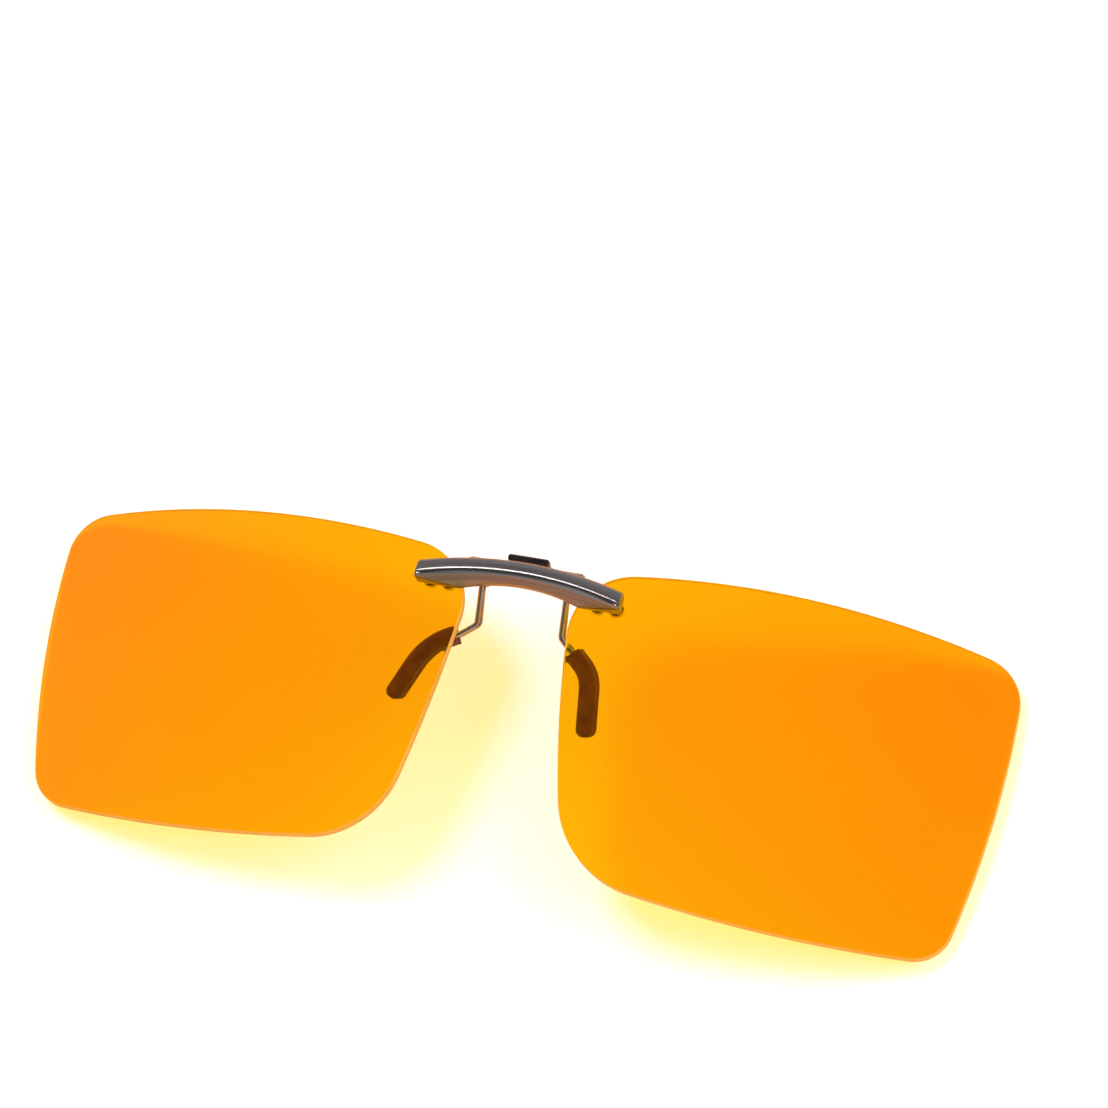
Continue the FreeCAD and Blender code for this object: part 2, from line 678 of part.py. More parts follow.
def make_prong(hand, rear):
    """One steel wire and the soft sleeve over its lower part."""
    place = "rear" if rear else "front"
    points = prong_points(hand, rear)
    bend = size("wire_bend_radius")
    radii = [bend, bend, bend, size(f"{hand}_elbow_radius")]
    wire_path = bent_path(shortened(points, size("tip_cover")), radii)
    wire = round_tube(wire_path, size("wire_radius"))
    sub_part(f"{place}_wire_{hand}", shaped(wire))
    sleeve_path = bent_path(points[3:], radii[3:])
    sleeve = oval_tube(sleeve_path, size("sleeve_width"), size("sleeve_depth"))
    tip = points[-1]
    ends = [edge for edge in sleeve.Edges
            if edge.Closed and (edge.CenterOfMass - tip).Length < SAME_PLACE]
    sleeve = sleeve.makeFillet(size("tip_round"), ends)
    bore = round_tube(wire_path, size("wire_radius") + size("sleeve_fit"))
    sub_part(f"{place}_sleeve_{hand}", shaped(sleeve.cut(bore)))


# ---------------------------------------------------------------- spring

JOINT_BALL = 1.02


def make_spring():
    """Torsion spring on the lever pin: one leg on the saddle, one on the tongue."""
    wire = size("spring_wire_radius")
    mean = size("pin_radius") + size("spring_inner_clearance") + wire
    half = size("spring_half_length")
    turns = size("spring_turns")
    helix = Part.makeHelix(2 * half / turns, 2 * half, mean)
    section = Part.Wire(Part.Circle(Vector(mean, 0, 0), Vector(0, 1, 0), wire).toShape())
    coil = Part.Wire(helix.Edges).makePipeShell([section], True, True)
    coil.Placement = Placement(
        Vector(-half, size("jaw_axis_y"), size("jaw_axis_z")),
        Rotation(Vector(0, 0, 1), Vector(1, 0, 0)))
    centre = Vector(0, size("jaw_axis_y"), size("jaw_axis_z"))
    up = size("tongue_y") - size("tongue_thickness") / 2 - size("leg_gap") - wire
    fixed_end = Vector(-half, size("saddle_bottom") + size("rest_leg_inset"),
                       size("saddle_front") - size("saddle_thickness")
                       - size("leg_gap") - wire)
    moving_end = Vector(half, up, size("tab_back") - size("moving_leg_reach"))
    legs = []
    for end, side in ((fixed_end, -1), (moving_end, 1)):
        reach = Vector(0, end.y - centre.y, end.z - centre.z)
        aside = math.acos(mean / reach.Length)
        angle = math.atan2(reach.z, reach.y) - side * aside
        touch = Vector(side * half, centre.y + mean * math.cos(angle),
                       centre.z + mean * math.sin(angle))
        run = end - touch
        legs.append(Part.makeCylinder(wire, run.Length, touch, run))
        legs.append(Part.makeSphere(wire * JOINT_BALL, touch))
    solid = coil
    ring_ends = []
    for side in (-1, 1):
        ring = Part.makeTorus(mean, wire, Vector(side * half, centre.y, centre.z),
                              Vector(1, 0, 0))
        ring_ends.append(ring)
    for piece in ring_ends + legs:
        solid = solid.fuse(piece)
    sub_part("torsion_spring", shaped(solid.removeSplitter()))


# ---------------------------------------------------------------- stance and export

CORNER_SPAN, CORNER_DEPTH = 24.0, 200.0
LEAN_ROUNDS = 4


def corner_low(shape, corner, lean):
    """Height of the lowest point of the lens near one corner, once leaned about x."""
    start = corner - Vector(CORNER_SPAN, CORNER_SPAN, CORNER_DEPTH) * 0.5
    near = shape.common(Part.makeBox(CORNER_SPAN, CORNER_SPAN, CORNER_DEPTH, start))
    near.Placement = Placement(Vector(), Rotation(Vector(1, 0, 0), lean))
    return tight_box(near).ZMin


def stance():
    """Front up on the four lens corners, origin under the middle of the box."""
    lens = PARTS["lens_right"].Shape
    corners = lens_corners()
    lean = 0.0
    for _ in range(LEAN_ROUNDS):
        step = corner_low(lens, corners[2], lean) - corner_low(lens, corners[1], lean)
        lean += math.degrees(math.atan2(step, size("lens_height")))
    turned = lens.copy()
    turned.Placement = Placement(Vector(), Rotation(Vector(1, 0, 0), lean))
    box = tight_box(turned)
    shift = Vector(0, -(box.YMin + box.YMax) / 2, -box.ZMin)
    return Placement(shift, Rotation(Vector(1, 0, 0), lean)), lean


make_lenses()
make_bar()
make_fixings()
make_leaves()
make_flip_pins()
make_clip_body()
make_lever()
make_squeeze_tab()
make_lever_pin()
for hand in ("left", "right"):
    make_prong(hand, rear=False)
    make_prong(hand, rear=True)
make_spring()
doc.recompute()

laid_down, lean_angle = stance()
for item in PARTS.values():
    item.Placement = laid_down.multiply(item.Placement)
doc.recompute()

for item in doc.Objects:
    if "Invalid" in item.State or "Error" in item.State:
        raise RuntimeError(f"{item.Label} failed: {item.State}")
for label, item in PARTS.items():
    if item.Shape.isNull() or not item.Shape.isValid():
        raise RuntimeError(f"{label} has no valid shape")
    if not item.Shape.Solids:
        raise RuntimeError(f"{label} has no solid")

os.makedirs("parts", exist_ok=True)
for label, item in PARTS.items():
    item.Shape.exportStep(f"parts/{label}.step")
    box = tight_box(item.Shape)
    print(f"{label:20s} {len(item.Shape.Solids)} solids, {item.Shape.Volume:9.3f} mm3, "
          f"x {box.XMin:7.2f} {box.XMax:7.2f} y {box.YMin:7.2f} {box.YMax:7.2f} "
          f"z {box.ZMin:6.2f} {box.ZMax:6.2f}")
for label, y, z in (("flip axis", "flip_axis_y", "flip_axis_z"),
                    ("jaw axis", "jaw_axis_y", "jaw_axis_z")):
    print(label, laid_down.multVec(Vector(0, size(y), size(z))))
print("lean", lean_angle, "origin of the working axes", laid_down.Base)
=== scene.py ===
"""Clip-on flip-up lenses, lying front up on a pale table.

Pieces are made in millimetres in face axes: x to the right, y up the face towards the bar,
z out of the front. lay_down() then puts each one in its place on the table, in metres.
"""
import bmesh
import bpy
import json
import math
from mathutils import Matrix, Vector


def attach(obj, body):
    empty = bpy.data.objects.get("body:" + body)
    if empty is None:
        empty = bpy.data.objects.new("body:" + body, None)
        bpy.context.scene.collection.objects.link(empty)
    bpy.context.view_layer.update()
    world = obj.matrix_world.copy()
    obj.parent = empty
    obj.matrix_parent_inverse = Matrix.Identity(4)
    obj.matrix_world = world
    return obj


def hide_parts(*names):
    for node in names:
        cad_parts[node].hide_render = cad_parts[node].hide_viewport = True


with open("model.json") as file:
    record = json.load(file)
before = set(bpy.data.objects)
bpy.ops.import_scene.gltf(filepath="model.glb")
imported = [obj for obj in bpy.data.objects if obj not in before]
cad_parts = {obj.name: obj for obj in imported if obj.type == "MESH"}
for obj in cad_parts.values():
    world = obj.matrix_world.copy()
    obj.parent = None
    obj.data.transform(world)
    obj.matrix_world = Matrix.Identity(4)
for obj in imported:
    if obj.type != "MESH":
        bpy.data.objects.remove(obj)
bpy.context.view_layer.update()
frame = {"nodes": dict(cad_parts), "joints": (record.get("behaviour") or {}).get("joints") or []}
joints = {joint["name"]: joint for joint in frame["joints"]}

MM = 0.001
MERGE = 0.0005     # points nearer than this are one
ACROSS, OUT = Vector((1, 0, 0)), Vector((0, 0, 1))
ARCH = 54.0        # radius of the bar's arch, about a point that far below the origin

# both hinge axes in face axes, and how far the face leans on the table
FLIP_AXIS = Vector((0, -0.25, -1.4))
JAW_AXIS = Vector((0, -0.7, -4.3))
LEAN = math.radians(1.378109447)
TURN = Matrix.Rotation(LEAN, 4, "X")
PLACE = Matrix.Translation(Vector(joints["flip_hinge"]["pos_m"]) - TURN @ FLIP_AXIS * MM)
STANCE = PLACE @ TURN @ Matrix.Scale(MM, 4)


# ---------------------------------------------------------------- handling pieces

def hold(piece):
    """Makes a piece the only one selected, and the active one."""
    bpy.ops.object.select_all(action="DESELECT")
    piece.select_set(True)
    bpy.context.view_layer.objects.active = piece
    return piece


def name_it(name):
    """Gives the piece just added its name, with its place applied."""
    piece = bpy.context.object
    piece.name = name
    piece.data.name = name
    bpy.ops.object.transform_apply(location=True, rotation=True, scale=True)
    return piece


def open_up(piece, kind="VERT"):
    """Edit mode, nothing selected."""
    hold(piece)
    bpy.ops.object.mode_set(mode="EDIT")
    bpy.ops.mesh.select_mode(type=kind)
    bpy.ops.mesh.select_all(action="DESELECT")


def put_down():
    bpy.ops.object.mode_set(mode="OBJECT")


def pick_all():
    bpy.ops.mesh.select_all(action="SELECT")


def pick_points(test):
    """Selects the points of the piece being edited that pass the test."""
    mesh = bmesh.from_edit_mesh(bpy.context.object.data)
    for point in mesh.verts:
        point.select = test(point.co)
    mesh.select_flush_mode()
    bmesh.update_edit_mesh(bpy.context.object.data)


def pick_edges(test):
    """Selects the edges whose two ends pass the test."""
    mesh = bmesh.from_edit_mesh(bpy.context.object.data)
    for edge in mesh.edges:
        edge.select = all(test(point.co) for point in edge.verts)
    mesh.select_flush_mode()
    bmesh.update_edit_mesh(bpy.context.object.data)


def pick_faces(test):
    """Selects the faces whose middle and normal pass the test."""
    mesh = bmesh.from_edit_mesh(bpy.context.object.data)
    for face in mesh.faces:
        face.select = test(face.calc_center_median(), face.normal)
    mesh.select_flush_mode()
    bmesh.update_edit_mesh(bpy.context.object.data)


def pick_open_ends():
    """Selects the edges round every open end."""
    bpy.ops.mesh.select_non_manifold(use_wire=False, use_multi_face=False,
                                     use_non_contiguous=False, use_verts=False)


def face_outwards():
    """Turns every face of the piece being edited outwards."""
    pick_all()
    bpy.ops.mesh.normals_make_consistent(inside=False)


def close_up(piece):
    """Merges doubles, fills open ends and turns every face outwards."""
    open_up(piece)
    pick_all()
    bpy.ops.mesh.remove_doubles(threshold=MERGE)
    bpy.ops.mesh.select_all(action="DESELECT")
    pick_open_ends()
    bpy.ops.mesh.fill_holes(sides=0)
    face_outwards()
    put_down()
    return piece


def apply_all(piece):
    """Applies every modifier of the piece."""
    hold(piece)
    for modifier in list(piece.modifiers):
        bpy.ops.object.modifier_apply(modifier=modifier.name)
    return piece


def ease_edges(piece, width, steps=3, sharper_than=30):
    """Rounds every edge that turns by more than an angle in degrees."""
    bevel = piece.modifiers.new("eased", "BEVEL")
    bevel.width = width
    bevel.segments = steps
    bevel.limit_method = "ANGLE"
    bevel.angle_limit = math.radians(sharper_than)
    return apply_all(piece)


def carve(piece, cutter):
    """Takes the cutter's shape out of the piece, and throws the cutter away."""
    less = piece.modifiers.new("carved", "BOOLEAN")
    less.operation = "DIFFERENCE"
    less.solver = "EXACT"
    less.object = cutter
    apply_all(piece)
    bpy.data.objects.remove(cutter)
    return piece


def smooth(piece, angle=35):
    """Shades smooth across edges that turn by less than an angle in degrees."""
    hold(piece)
    bpy.ops.object.shade_smooth_by_angle(angle=math.radians(angle))
    return piece


def lay_down(piece):
    """From face axes in millimetres to its place on the table in metres."""
    hold(piece)
    piece.matrix_world = STANCE
    bpy.ops.object.transform_apply(location=True, rotation=True, scale=True)
    return piece


def set_piece(piece, body, node, finish):
    """Says what a piece rides on, which node it replaces and its finish."""
    piece.data.materials.clear()
    piece.data.materials.append(finish)
    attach(piece, body)
    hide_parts(node)
    return piece


def lift_copy(node, name):
    """A merged copy of a CAD node, in face axes and millimetres."""
    source = frame["nodes"][node]
    piece = bpy.data.objects.new(name, source.data.copy())
    bpy.context.scene.collection.objects.link(piece)
    piece.data.transform(STANCE.inverted())
    open_up(piece)
    pick_all()
    bpy.ops.mesh.remove_doubles(threshold=MERGE)
    put_down()
    return piece


# ---------------------------------------------------------------- finishes

def new_finish(name):
    finish = bpy.data.materials.new(name)
    finish.use_nodes = True
    return finish, finish.node_tree, finish.node_tree.nodes["Principled BSDF"]


def on_piece(tree, stretch=(1, 1, 1)):
    """Places on the piece, in millimetres, stretched for a directional grain."""
    where = tree.nodes.new("ShaderNodeTexCoord")
    scale = tree.nodes.new("ShaderNodeMapping")
    scale.inputs["Scale"].default_value = [s / MM for s in stretch]
    tree.links.new(where.outputs["Object"], scale.inputs["Vector"])
    return scale.outputs["Vector"]


def cloud(tree, place, grain, detail=3.0):
    """Soft noise with features about grain millimetres across."""
    noise = tree.nodes.new("ShaderNodeTexNoise")
    noise.inputs["Scale"].default_value = 1 / grain
    noise.inputs["Detail"].default_value = detail
    tree.links.new(place, noise.inputs["Vector"])
    return noise.outputs["Fac"]


def tones(tree, factor, *stops):
    """Colours along a factor. Each stop is a place on it and a colour."""
    ramp = tree.nodes.new("ShaderNodeValToRGB")
    marks = ramp.color_ramp.elements
    for mark, (spot, colour) in ((marks[0], stops[0]), (marks[1], stops[-1])):
        mark.position = spot
        mark.color = (*colour, 1)
    for spot, colour in stops[1:-1]:
        marks.new(spot).color = (*colour, 1)
    tree.links.new(factor, ramp.inputs["Fac"])
    return ramp.outputs["Color"]


def shades(tree, factor, low, high, span=(0.35, 0.65)):
    """Two colours mixed by the noise, over the middle part of its range."""
    return tones(tree, factor, (span[0], low), (span[1], high))


NOISE_LOW, NOISE_HIGH = 0.3, 0.7      # nearly all of the noise lies between these


def between(tree, factor, low, high):
    """A number that runs from low to high with the noise."""
    spread = tree.nodes.new("ShaderNodeMapRange")
    spread.inputs["From Min"].default_value = NOISE_LOW
    spread.inputs["From Max"].default_value = NOISE_HIGH
    spread.inputs["To Min"].default_value = low
    spread.inputs["To Max"].default_value = high
    tree.links.new(factor, spread.inputs["Value"])
    return spread.outputs["Result"]


def relief(tree, shader, height, depth):
    """A raised and sunk surface, depth in millimetres."""
    bump = tree.nodes.new("ShaderNodeBump")
    bump.inputs["Distance"].default_value = depth * MM
    tree.links.new(height, bump.inputs["Height"])
    tree.links.new(bump.outputs["Normal"], shader.inputs["Normal"])


def unlike_in_mirrors(tree, plain):
    """A mix that shows its first colour to the eye and its second in mirror images."""
    path = tree.nodes.new("ShaderNodeLightPath")
    mix = tree.nodes.new("ShaderNodeMixRGB")
    tree.links.new(path.outputs["Is Glossy Ray"], mix.inputs["Fac"])
    tree.links.new(plain, mix.inputs["Color1"])
    return mix


# where the lens colour is painted lighter, standing in for light that leaks under the nasal
# lower part
PAINTED_FADE_ACROSS = (62, 6)      # from the temple to the nasal side, in millimetres
PAINTED_FADE_DOWN = (26, -22)      # from the top to the bottom of the object


def painted_light_fade(tree):
    """Painted light: 0 at the temple and top of each lens, 1 at its nasal lower part, where the
    tint is painted lighter for light that leaks under the lens.
    """
    place = tree.nodes.new("ShaderNodeSeparateXYZ")
    tree.links.new(on_piece(tree), place.inputs["Vector"])
    aside = tree.nodes.new("ShaderNodeMath")
    aside.operation = "ABSOLUTE"
    tree.links.new(place.outputs["X"], aside.inputs[0])
    parts = []
    for socket, near, far in ((aside.outputs[0], *PAINTED_FADE_ACROSS),
                              (place.outputs["Y"], *PAINTED_FADE_DOWN)):
        part = tree.nodes.new("ShaderNodeMapRange")
        part.inputs["From Min"].default_value = near
        part.inputs["From Max"].default_value = far
        part.inputs["To Max"].default_value = 0.5
        tree.links.new(socket, part.inputs["Value"])
        parts.append(part.outputs["Result"])
    both = tree.nodes.new("ShaderNodeMath")
    both.operation = "ADD"
    tree.links.new(parts[0], both.inputs[0])
    tree.links.new(parts[1], both.inputs[1])
    return both.outputs[0]


def let_light_by(tree, clear, tint):
    """Lamp light and light off the table pass straight through a clear shader, tinted."""
    through = tree.nodes.new("ShaderNodeBsdfTransparent")
    tree.links.new(tint, through.inputs["Color"])
    path = tree.nodes.new("ShaderNodeLightPath")
    shader = clear.outputs["BSDF"]
    for ray in ("Is Diffuse Ray", "Is Shadow Ray"):
        mix = tree.nodes.new("ShaderNodeMixShader")
        tree.links.new(path.outputs[ray], mix.inputs["Fac"])
        tree.links.new(shader, mix.inputs[1])
        tree.links.new(through.outputs["BSDF"], mix.inputs[2])
        shader = mix.outputs["Shader"]
    tree.links.new(shader, tree.nodes["Material Output"].inputs["Surface"])


def passed_light(tree, place):
    """The colour of light that has gone through the orange sheet."""
    return shades(tree, cloud(tree, place, 22, 2), (0.985, 0.81, 0.22),
                  (0.985, 0.83, 0.24))


def orange_lens_finish():
    """Clear orange hard-coated sheet that tints the light it lets onto the table, its colour
    painted lighter towards the nasal lower part for light leaking under it.
    """
    finish, tree, glass = new_finish("orange_lens_tint_with_painted_light")
    place = on_piece(tree)
    # painted light: the tint runs lighter towards the nasal lower part, standing in for light
    # leaking under the lens
    tree.links.new(shades(tree, painted_light_fade(tree), (1.0, 0.72, 0.0005), (1.0, 1.0, 0.0008),
                          (0.1, 0.9)), glass.inputs["Base Color"])
    tree.links.new(between(tree, cloud(tree, place, 3), 0.01, 0.03),
                   glass.inputs["Roughness"])
    glass.inputs["Transmission Weight"].default_value = 1.0
    glass.inputs["IOR"].default_value = 1.36
    let_light_by(tree, glass, passed_light(tree, place))
    return finish


def orange_rim_finish():
    """The same sheet's polished edge, where the dye is seen edge on."""
    finish, tree, rim = new_finish("orange_lens_rim")
    place = on_piece(tree)
    tree.links.new(shades(tree, cloud(tree, place, 4), (1.0, 0.50, 0.06),
                          (1.0, 0.60, 0.10)), rim.inputs["Base Color"])
    tree.links.new(between(tree, cloud(tree, place, 0.4), 0.3, 0.4),
                   rim.inputs["Roughness"])
    rim.inputs["Transmission Weight"].default_value = 0.4
    rim.inputs["Specular IOR Level"].default_value = 0.3
    let_light_by(tree, rim, passed_light(tree, place))
    return finish


def metal_finish(name, dark, light, rough, stretch, grain, depth):
    """Metal with fine lines along one direction, broad clouds and a faint relief."""
    finish, tree, metal = new_finish(name)
    lines = cloud(tree, on_piece(tree, stretch), grain, 4)
    clouds = cloud(tree, on_piece(tree), 4, 2)
    tree.links.new(shades(tree, clouds, dark, light), metal.inputs["Base Color"])
    tree.links.new(between(tree, lines, *rough), metal.inputs["Roughness"])
    metal.inputs["Metallic"].default_value = 1.0
    relief(tree, metal, lines, depth)
    return finish


def along_arch(tree, along):
    """Places whose pattern runs round the bar's arch, drawn out along it."""
    centre = STANCE @ Vector((0, -ARCH, 0))
    where = tree.nodes.new("ShaderNodeTexCoord")
    apart = tree.nodes.new("ShaderNodeSeparateXYZ")
    shift = tree.nodes.new("ShaderNodeMapping")
    shift.inputs["Location"].default_value = [-part / MM for part in centre]
    shift.inputs["Scale"].default_value = (1 / MM, 1 / MM, 1 / MM)
    tree.links.new(where.outputs["Object"], shift.inputs["Vector"])
    tree.links.new(shift.outputs["Vector"], apart.inputs["Vector"])
    flat = tree.nodes.new("ShaderNodeCombineXYZ")
    tree.links.new(apart.outputs["X"], flat.inputs["X"])
    tree.links.new(apart.outputs["Y"], flat.inputs["Y"])
    far = tree.nodes.new("ShaderNodeVectorMath")
    far.operation = "LENGTH"
    tree.links.new(flat.outputs["Vector"], far.inputs[0])
    slow = tree.nodes.new("ShaderNodeMath")
    slow.operation = "MULTIPLY"
    slow.inputs[1].default_value = along
    tree.links.new(apart.outputs["X"], slow.inputs[0])
    place = tree.nodes.new("ShaderNodeCombineXYZ")
    tree.links.new(slow.outputs[0], place.inputs["X"])
    tree.links.new(far.outputs["Value"], place.inputs["Y"])
    tree.links.new(apart.outputs["Z"], place.inputs["Z"])
    return place.outputs["Vector"]


DRAWN_OUT = 0.03           # how much slower the bar's pattern changes along it than across


def satin_bar_finish():
    """Satin gunmetal, whose fine lines and soft streaks follow the arch."""
    finish, tree, metal = new_finish("satin_gunmetal")
    lines = cloud(tree, along_arch(tree, DRAWN_OUT), 0.22, 2)
    streaks = cloud(tree, along_arch(tree, DRAWN_OUT), 0.9, 2)
    tree.links.new(shades(tree, streaks, (0.25, 0.235, 0.24), (0.40, 0.38, 0.375),
                          (0.3, 0.7)), metal.inputs["Base Color"])
    tree.links.new(between(tree, lines, 0.21, 0.27), metal.inputs["Roughness"])
    metal.inputs["Metallic"].default_value = 1.0
    relief(tree, metal, lines, 0.0005)
    return finish


def clear_plastic_finish():
    """Clear moulded plastic with a hint of haze."""
    finish, tree, plastic = new_finish("clear_washer_plastic")
    place = on_piece(tree)
    tree.links.new(shades(tree, cloud(tree, place, 0.8), (0.93, 0.95, 0.94),
                          (0.98, 0.98, 0.97)), plastic.inputs["Base Color"])
    tree.links.new(between(tree, cloud(tree, place, 0.3), 0.08, 0.14),
                   plastic.inputs["Roughness"])
    plastic.inputs["Transmission Weight"].default_value = 1.0
    plastic.inputs["IOR"].default_value = 1.3
    let_light_by(tree, plastic, shades(tree, cloud(tree, place, 0.8), (0.93, 0.94, 0.93),
                                       (0.96, 0.96, 0.95)))
    return finish


def smoke_silicone_finish():
    """Soft smoke-brown sleeve, a little see-through, with a matt skin."""
    finish, tree, soft = new_finish("smoke_silicone_sleeve")
    place = on_piece(tree)
    tree.links.new(shades(tree, cloud(tree, place, 2.5, 2), (0.12, 0.034, 0.034),
                          (0.18, 0.060, 0.056)), soft.inputs["Base Color"])
    skin = cloud(tree, place, 0.12)
    tree.links.new(between(tree, skin, 0.32, 0.5), soft.inputs["Roughness"])
    soft.inputs["Transmission Weight"].default_value = 0.45
    soft.inputs["IOR"].default_value = 1.41
    relief(tree, soft, skin, 0.008)
    return finish


def black_rubber_finish():
    """Black soft rubber with a fine skin and a dull shine."""
    finish, tree, soft = new_finish("black_tab_rubber")
    place = on_piece(tree)
    tree.links.new(shades(tree, cloud(tree, place, 1.5), (0.006, 0.006, 0.007),
                          (0.016, 0.015, 0.015)), soft.inputs["Base Color"])
    skin = cloud(tree, place, 0.1)
    tree.links.new(between(tree, skin, 0.22, 0.4), soft.inputs["Roughness"])
    soft.inputs["Coat Weight"].default_value = 0.25
    soft.inputs["Coat Roughness"].default_value = 0.2
    relief(tree, soft, skin, 0.006)
    return finish


def table_painted_reflection_finish():
    """Pale matt paint, with a painted reflection: warmer and darker in mirror images, so the
    bar's lower facet shows a warm tone.
    """
    finish, tree, paint = new_finish("pale_table_painted_reflection")
    place = on_piece(tree)
    pale = shades(tree, cloud(tree, place, 60), (0.90, 0.895, 0.885), (0.93, 0.925, 0.92))
    colour = unlike_in_mirrors(tree, pale)
    # painted reflection: the warm, darker colour that only mirror images of the table show
    colour.inputs["Color2"].default_value = (0.72, 0.40, 0.23, 1)
    tree.links.new(colour.outputs["Color"], paint.inputs["Base Color"])
    tree.links.new(between(tree, cloud(tree, place, 2), 0.55, 0.65),
                   paint.inputs["Roughness"])
    paint.inputs["Specular IOR Level"].default_value = 0.2
    return finish


ORANGE_TINT_WITH_PAINTED_LIGHT = orange_lens_finish()
ORANGE_RIM = orange_rim_finish()
SATIN_GUNMETAL = satin_bar_finish()
CLIP_STEEL = metal_finish(
    "satin_clip_steel", dark=(0.46, 0.45, 0.44), light=(0.58, 0.57, 0.55),
    rough=(0.26, 0.42), stretch=(0.08, 1, 1), grain=0.3, depth=0.004)
BRIGHT_STEEL = metal_finish(
    "bright_pin_steel", dark=(0.66, 0.65, 0.63), light=(0.76, 0.75, 0.73),
    rough=(0.12, 0.24), stretch=(1, 1, 1), grain=0.15, depth=0.002)
WIRE_STEEL = metal_finish(
    "polished_wire_steel", dark=(0.55, 0.51, 0.46), light=(0.70, 0.66, 0.60),
    rough=(0.08, 0.18), stretch=(1.5, 0.15, 1.5), grain=0.2, depth=0.0015)
SPRING_STEEL = metal_finish(
    "spring_steel", dark=(0.36, 0.35, 0.34), light=(0.50, 0.49, 0.47),
    rough=(0.2, 0.34), stretch=(1, 1, 1), grain=0.2, depth=0.002)
CLEAR_PLASTIC = clear_plastic_finish()
SMOKE_SILICONE = smoke_silicone_finish()
BLACK_RUBBER = black_rubber_finish()
PALE_TABLE_PAINTED_REFLECTION = table_painted_reflection_finish()


# ---------------------------------------------------------------- lenses

LENS_CURVE, LENS_THICK = 168.0, 2.0
CURVE_CENTRE = Vector((7.7, -19.0))
POST_X = (10.8, 13.4)
POST_Y = -3.45
POST_HOLE = 0.8
RIM_EASE = 0.16
RIM_TILT = 0.8             # faces whose normals stand up less than this are the rim
RING_WIDTHS = (0.5, 1.5, 2.0)                                  # rings next to the rim
RING_SIZES = (0.87, 0.86, 0.84, 0.82, 0.8, 0.75, 0.66, 0.5)    # then each against the last


def press_over_mould(piece, side):
    """Slumps the flat plate over two spheres that share one centre."""
    for point in piece.data.vertices:
        reach = Vector((point.co.x - side * CURVE_CENTRE.x, point.co.y - CURVE_CENTRE.y))
        share = min(max(-point.co.z / LENS_THICK, 0), 1)
        radius = LENS_CURVE - LENS_THICK * share
        point.co.z = math.sqrt(radius ** 2 - reach.length_squared) - LENS_CURVE


def cut_plate(piece, holes):
    """Leaves the outline of the lens as one flat face, and gives it its thickness."""
    open_up(piece, "FACE")
    pick_faces(lambda middle, normal: normal.z < 0.5)
    bpy.ops.mesh.delete(type="FACE")
    pick_all()
    bpy.ops.mesh.select_mode(type="VERT")
    bpy.ops.mesh.region_to_loop()
    bpy.ops.mesh.select_all(action="INVERT")
    bpy.ops.mesh.delete(type="VERT")
    pick_points(lambda co: min((co.xy - hole).length for hole in holes) < 2 * POST_HOLE)
    bpy.ops.mesh.delete(type="VERT")
    pick_all()
    bpy.ops.transform.resize(value=(1, 1, 0), center_override=(0, 0, 0))
    bpy.ops.mesh.edge_face_add()
    bpy.ops.mesh.extrude_region_move(TRANSFORM_OT_translate={"value": (0, 0, -LENS_THICK)})
    face_outwards()
    put_down()


def ring_in(piece):
    """Divides both flat sides into rings towards the middle, so the plate can curve."""
    low, high = (Vector(corner) for corner in (piece.bound_box[0], piece.bound_box[6]))
    centre = (low + high) / 2
    for facing in (1, -1):
        open_up(piece, "FACE")
        pick_faces(lambda middle, normal: normal.z * facing > 0.99)
        for width in RING_WIDTHS:
            bpy.ops.mesh.inset(thickness=width, depth=0)
        for size in RING_SIZES:
            bpy.ops.mesh.inset(thickness=0, depth=0)
            bpy.ops.transform.resize(value=(size, size, 1),
                                     center_override=(centre.x, centre.y, 0))
        bpy.ops.mesh.inset(thickness=0, depth=0)
        bpy.ops.mesh.merge(type="CENTER")
        put_down()


def make_lens(hand, side):
    """A flat plate of the lens outline, its rim eased, drilled and pressed over a mould."""
    holes = [Vector((side * x, POST_Y)) for x in POST_X]
    piece = lift_copy(f"lens_{hand}", f"lens_{hand}_polished")
    cut_plate(piece, holes)
    ease_edges(piece, RIM_EASE, 3, 60)
    ring_in(piece)
    close_up(piece)
    for hole in holes:
        bpy.ops.mesh.primitive_cylinder_add(vertices=48, radius=POST_HOLE,
                                            depth=3 * LENS_THICK,
                                            location=(hole.x, hole.y, -LENS_THICK / 2))
        carve(piece, name_it("post_hole"))
    press_over_mould(piece, side)
    smooth(lay_down(piece), 40)
    set_piece(piece, "lens_frame", f"lens_{hand}", ORANGE_TINT_WITH_PAINTED_LIGHT)
    piece.data.materials.append(ORANGE_RIM)
    open_up(piece, "FACE")
    pick_faces(lambda middle, normal: abs(normal.z) < RIM_TILT)
    piece.active_material_index = 1
    bpy.ops.object.material_slot_assign()
    put_down()


# ---------------------------------------------------------------- bridge bar

BAR_END, BAR_BACK, BAR_FRONT = 14.7, -0.35, 2.95
BAR_BROW, RIDGE_DROP, FOOT_DROP = 1.9, 2.2, 4.25
BAR_FLOOR = -4.75
BAR_STEPS, BAR_NOSE = 56, 0.25
BAR_NOSE_REST = 0.87       # the nose's own size at its tip, against the bar's end
WAIST_RADIUS, WAIST_TOP = 26.0, -3.3
EDGE_STEPS = 8
RECESS_HALF, RECESS_DEEP, RECESS_FLOOR = 3.4, 1.35, -1.9


def section_of(name, points):
    """A flat face with the given corners."""
    bpy.ops.mesh.primitive_circle_add(vertices=len(points), radius=1, fill_type="NGON")
    piece = name_it(name)
    starts = [point.co.copy() for point in piece.data.vertices]
    for start, corner in zip(starts, points):
        open_up(piece)
        pick_points(lambda co: (co - start).length < MERGE)
        bpy.ops.transform.translate(value=corner - start)
        put_down()
    return piece


